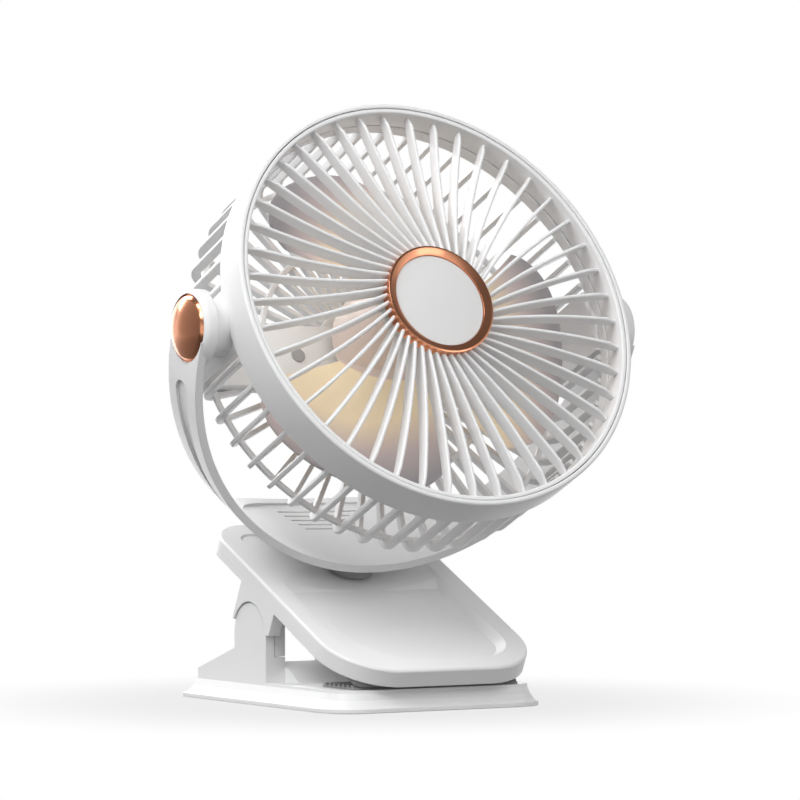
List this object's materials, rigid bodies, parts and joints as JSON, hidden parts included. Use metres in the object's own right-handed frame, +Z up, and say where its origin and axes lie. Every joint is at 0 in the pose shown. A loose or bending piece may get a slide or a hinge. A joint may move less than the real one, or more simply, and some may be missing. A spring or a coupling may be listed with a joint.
{
  "type": "clip-on fan",
  "caption": "Clip-on table fan: round guarded head with swept spokes tilts in a U-shaped yoke that swivels on a sprung clamp with a dished tray.",
  "frame": {"origin": "middle of the underside of the sole that the fan stands on", "axes": "+Z up, the fan blows towards -Y, +X to the right seen from the front"},
  "size_m": [0.2086, 0.1569, 0.2411],
  "materials": {
    "white_plastic": "satin white moulded plastic",
    "dark_rubber": "matte",
    "grey_rubber": "matte, ribbed",
    "steel": "plain steel",
    "spring_steel": "drawn wire",
    "cell_foil": "foil wrap",
    "board": "solder-masked laminate",
    "grey_plastic": "satin",
    "rose_gold": "polished rose gold",
    "hub_grey": "satin grey",
    "motor_steel": "drawn can",
    "bush_brass": "sintered bronze",
    "winding": "copper winding",
    "magnet": "sintered",
    "champagne": "translucent champagne"
  },
  "bodies": {
    "lower_jaw": {"base_plate": "white_plastic", "base_sole": "dark_rubber", "lower_grip_pad": "grey_rubber", "hinge_pins": "steel", "spring_rod": "steel", "clip_spring": "spring_steel"},
    "upper_jaw": {"tray": "white_plastic", "tray_cover": "white_plastic", "battery_cell": "cell_foil", "circuit_board": "board", "charging_port": "steel", "tray_screws": "steel", "upper_grip_pad": "grey_rubber", "swivel_ring": "grey_plastic"},
    "button": {"power_button": "grey_plastic"},
    "yoke": {"yoke": "white_plastic", "pivot_cap_left": "rose_gold", "pivot_cap_right": "rose_gold", "swivel_washer": "steel", "swivel_screw": "steel"},
    "head": {"front_ring": "white_plastic", "front_grille": "white_plastic", "hub_trim": "rose_gold", "hub_disc": "hub_grey", "rear_guard": "white_plastic", "wire_cover": "white_plastic", "cover_plug": "grey_plastic", "rear_cap": "white_plastic", "motor_screws": "steel", "motor_can": "motor_steel", "motor_bushes": "bush_brass", "motor_stator": "winding", "pivot_screws": "steel"},
    "rotor": {"impeller": "champagne", "motor_shaft": "steel", "rotor_magnet": "magnet"}
  },
  "joints": [
    {"name": "jaw_hinge", "type": "hinge", "parent": "lower_jaw", "child": "upper_jaw", "pos_m": [0, 0.0134, 0.028], "axis": [-1, 0, 0], "range_deg": [0, 30], "stiffness_Nm_per_rad": 0.5, "springref_deg": -68.75, "deforming": ["clip_spring"]},
    {"name": "power_button_press", "type": "slide", "parent": "upper_jaw", "child": "button", "axis": [0, -0.9026, -0.4305], "range_m": [0, 0.0008], "stiffness_N_per_m": 300, "springref_m": -0.002},
    {"name": "yoke_swivel", "type": "hinge", "parent": "upper_jaw", "child": "yoke", "pos_m": [0, 0.01255, 0.05441], "axis": [0, -0.4305, 0.9026], "range_deg": [-180, 180]},
    {"name": "head_tilt", "type": "hinge", "parent": "yoke", "child": "head", "pos_m": [0, -0.03326, 0.15044], "axis": [1, 0, 0], "range_deg": [-60, 160]},
    {"name": "rotor_spin", "type": "hinge", "parent": "head", "child": "rotor", "pos_m": [0, -0.03326, 0.15044], "axis": [0, -0.9048, 0.4258], "continuous": true}
  ]
}
